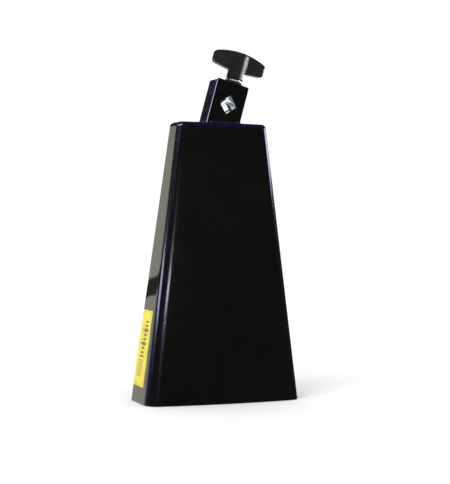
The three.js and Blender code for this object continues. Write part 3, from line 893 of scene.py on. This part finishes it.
def floor():
    s = Shader("pale_floor")
    s.set(IOR=1.4, Roughness=0.75, Specular_IOR_Level=0.2)
    cloud = s.soft(s.noise(2.2, 4.0, 0.6))
    mat = s.drive(Base_Color=s.mix(cloud, rgb(0.86, 0.86, 0.87), rgb(0.89, 0.89, 0.89)))
    # an oval sheet that ends a short way in front of the bell and runs further back
    front, back, sides = 0.40, 1.3, 96
    rings = []
    for share in (0.0, 0.25, 0.5, 0.75, 1.0):
        ring = []
        for k in range(sides):
            a = 2 * PI * k / sides
            reach = share * (front + (back - front) * smoothstep(0.5 + 0.9 * math.sin(a)))
            ring.append((reach * math.cos(a), reach * math.sin(a), 0.0))
        rings.append(ring)
    obj = new_object("studio_floor", loft(rings, close_cols=True), mat)
    obj.visible_glossy = False


def world():
    """White to the camera and to matt surfaces.

    In reflections it is dark, with a pale sweep behind and blue high up and low at the left.
    """
    w = bpy.data.worlds.new("studio")
    bpy.context.scene.world = w
    w.use_nodes = True
    tree = w.node_tree
    tree.nodes.clear()
    new, link = tree.nodes.new, tree.links.new

    def value(op, a, b=0.0):
        return math_node(tree, op, a, b)

    def rise(item, a, b):
        """0 up to a, 1 from b on."""
        n = new("ShaderNodeMapRange")
        n.interpolation_type = "SMOOTHSTEP"
        link(item, n.inputs["Value"])
        n.inputs["From Min"].default_value, n.inputs["From Max"].default_value = a, b
        return n.outputs["Result"]

    def fall(item, a, b):
        return value("SUBTRACT", 1.0, rise(item, a, b))
    coord = new("ShaderNodeTexCoord")
    split = new("ShaderNodeSeparateXYZ")
    link(coord.outputs["Generated"], split.inputs[0])
    x, y, z = split.outputs
    flat = value("SQRT", value("ADD", value("MULTIPLY", x, x), value("MULTIPLY", y, y)))
    back = value("DIVIDE", y, value("MAXIMUM", flat, 0.001))
    sweep = value("MULTIPLY", rise(back, 0.62, 0.80), fall(z, 0.13, 0.20))
    low_left = value("MULTIPLY", rise(back, 0.30, 0.42), fall(z, 0.062, 0.085))
    low_left = value("MULTIPLY", low_left, value("LESS_THAN", x, 0.0))
    room = mix_node(tree, rise(z, 0.20, 0.42), rgb(0.027, 0.027, 0.021), rgb(0.052, 0.036, 0.26))
    room = mix_node(tree, low_left, room, rgb(0.14, 0.11, 0.62))
    studio = mix_node(tree, sweep, room, rgb(0.76, 0.76, 0.65))
    path = new("ShaderNodeLightPath")
    glossy = new("ShaderNodeBackground")
    link(studio, glossy.inputs["Color"])
    plain = new("ShaderNodeBackground")
    plain.inputs["Color"].default_value = rgb(1.0, 1.0, 1.0)
    plain.inputs["Strength"].default_value = 1.05
    choose = new("ShaderNodeMixShader")
    link(path.outputs["Is Glossy Ray"], choose.inputs[0])
    link(plain.outputs[0], choose.inputs[1])
    link(glossy.outputs[0], choose.inputs[2])
    out = new("ShaderNodeOutputWorld")
    link(choose.outputs[0], out.inputs["Surface"])


def aim(obj, target):
    direction = Vector(target) - obj.location
    obj.rotation_mode = "QUATERNION"
    obj.rotation_quaternion = direction.to_track_quat("-Z", "Y")


def lit_group(name, objects):
    """Collection of the only pieces that a lamp lights."""
    group = bpy.data.collections.new(name)
    for obj in objects:
        group.objects.link(obj)
    return group


def soft_box(name, group, azimuth, height, size, radiance, colour, distance=1.6, blockers=None):
    """Upright area light, facing the bell's axis from an azimuth in degrees left of the bell's front.

    It lights the pieces in group. Where blockers are given, nothing else casts a shadow in its light.
    """
    data = bpy.data.lights.new(name, "AREA")
    data.shape, data.size, data.size_y = "RECTANGLE", size[0], size[1]
    data.energy = radiance * PI * size[0] * size[1]
    data.color = colour
    obj = bpy.data.objects.new(name, data)
    bpy.context.scene.collection.objects.link(obj)
    a = math.radians(azimuth)
    obj.location = (-distance * math.sin(a), -distance * math.cos(a), height)
    aim(obj, (0, 0, height))
    obj.visible_camera = False
    obj.light_linking.receiver_collection = group
    if blockers is not None:
        obj.light_linking.blocker_collection = blockers


def dark_card():
    """Small black card beside the left narrow side, seen only as a dark patch in its gloss."""
    s = Shader("black_card")
    s.set(Roughness=0.9, Specular_IOR_Level=0.0)
    mat = s.drive(Base_Color=s.mix(s.noise(20.0), rgb(0.06, 0.06, 0.054), rgb(0.12, 0.12, 0.108)))
    half_wide, half_high, slant, steps = 15 * MM, 8 * MM, -0.75, 36
    low, high = [], []
    for k in range(steps + 1):
        u = -2 * half_wide + 3 * half_wide * k / steps
        ragged = 0.7 * MM * math.sin(420 * u + 0.6) + 0.5 * MM * math.sin(1050 * u + 1.9)
        middle = slant * max(u, -half_wide)
        low.append((u, 0.0, middle - half_high + ragged))
        high.append((u, 0.0, middle + half_high - 0.6 * ragged))
    spot = Vector((-bell_size(CARD_HEIGHT)[0], 0.0, CARD_HEIGHT))
    away = Vector(CARD_DIRECTION)
    turn = Matrix.Rotation(math.atan2(-away.x, away.y), 4, "Z")
    place = Matrix.Translation(spot + away * CARD_DISTANCE) @ turn
    obj = new_object("dark_card", loft([low, high]), mat, place)
    obj.visible_camera = obj.visible_shadow = obj.visible_diffuse = False


def lights():
    key = bpy.data.lights.new("key", "SUN")
    key.energy, key.angle = 1.2, math.radians(28)
    key_obj = bpy.data.objects.new("key", key)
    bpy.context.scene.collection.objects.link(key_obj)
    key_obj.location = (-1.2, -0.8, 1.6)
    aim(key_obj, (0, 0, 0))
    pieces = [o for o in bpy.context.scene.objects if o.type == "MESH"]
    upper = ("t_handle", "bright_washer", "dark_washer", "handle_insert")

    def named(*starts):
        return [o for o in pieces if o.name.startswith(starts)]
    handle = lit_group("handle_lit", named(*upper))
    washers = lit_group("washer_lit", named("bright_washer"))
    eye = lit_group("eye_lit", named("eye_bolt_"))
    bracket_only = lit_group("bracket_lit", named("rod_bracket"))
    rest = lit_group("bell_lit", [o for o in pieces if o not in named(*upper, "eye_bolt", "studio")])
    below = lit_group("key_lit", [o for o in pieces if o not in named(*upper)])
    key_obj.light_linking.receiver_collection = below
    near = 1.2
    # each window: pieces lit, azimuth, height, width and height of the window, radiance, colour
    soft_box("left_window", rest, 99, 0.30, (0.66, 0.13), 8.5, (0.66, 0.62, 1.0))
    soft_box("front_window", rest, 14, 0.246, (0.60, 0.052), 15.5, (0.80, 0.80, 1.0))
    soft_box("front_fringe", rest, 35, 0.246, (0.74, 0.08), 0.85, (0.12, 0.15, 1.0))
    soft_box("right_window", rest, -92, 0.53, (1.2, 0.30), 6.5, (0.74, 0.68, 1.0))
    soft_box("left_high_window", rest, 90, 0.96, (2.0, 0.40), 9.0, (0.74, 0.68, 1.0))
    soft_box("handle_window", handle, -98, 0.12, (3.6, 0.30), 15.0, (0.95, 0.92, 1.0))
    soft_box("eye_window", eye, -8, 0.30, (5.0, 2.6), 1.15, (0.91, 0.94, 1.0), near, eye)
    soft_box("washer_window", washers, 20, 0.30, (3.0, 2.0), 0.9, (1.0, 0.92, 0.74), near, washers)
    soft_box("bracket_back_window", bracket_only, -174, 0.88, (0.8, 0.5), 4.0, (1.0, 0.98, 0.84))


def camera():
    data = bpy.data.cameras.new("camera")
    data.sensor_fit, data.sensor_width, data.lens = "AUTO", 36.0, CAMERA_LENS
    obj = bpy.data.objects.new("camera", data)
    bpy.context.scene.collection.objects.link(obj)
    yaw, pitch, roll = (math.radians(v) for v in CAMERA_TURN)
    forward = Vector((math.sin(yaw) * math.cos(pitch), math.cos(yaw) * math.cos(pitch), math.sin(pitch)))
    right = Vector((math.cos(yaw), -math.sin(yaw), 0))
    up = right.cross(forward)
    right, up = right * math.cos(roll) + up * math.sin(roll), up * math.cos(roll) - right * math.sin(roll)
    turn = Matrix((right, up, -forward)).transposed()
    obj.matrix_world = Matrix.Translation(CAMERA_PLACE) @ turn.to_4x4()
    bpy.context.scene.camera = obj


floor()
world()
lights()
dark_card()
camera()
bpy.context.scene.view_settings.view_transform = "Standard"
